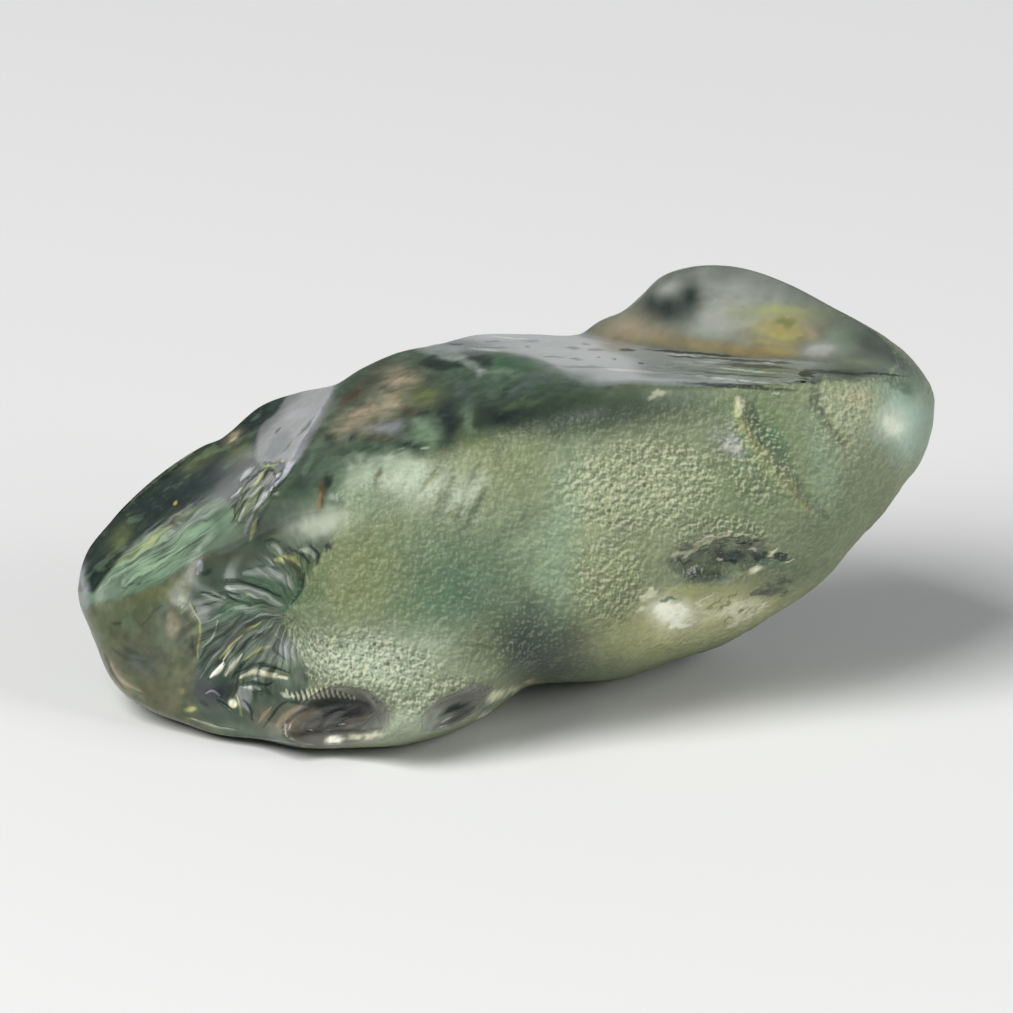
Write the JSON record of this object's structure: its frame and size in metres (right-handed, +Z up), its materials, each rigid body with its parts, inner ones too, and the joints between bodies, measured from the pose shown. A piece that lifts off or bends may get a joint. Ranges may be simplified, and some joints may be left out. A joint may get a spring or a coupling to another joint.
{
  "type": "raw sapphire",
  "caption": "Broken, water-worn piece of translucent green-grey sapphire, with a frosted broad face, fresh shell-like breaks at one end and a raised hump along the back edge.",
  "frame": {"origin": "centre of the bounding box at the level of the worn resting face", "axes": "+X from the broken end to the rounded nose, -Y towards the frosted broad face, +Z up from the surface the stone lies on"},
  "size_m": [0.016, 0.0088, 0.0075],
  "materials": {
    "sapphire": "translucent corundum, frosted on the worn broad face and glossy on the fresh breaks"
  },
  "bodies": {
    "root": {"raw_sapphire": "sapphire"}
  },
  "joints": []
}
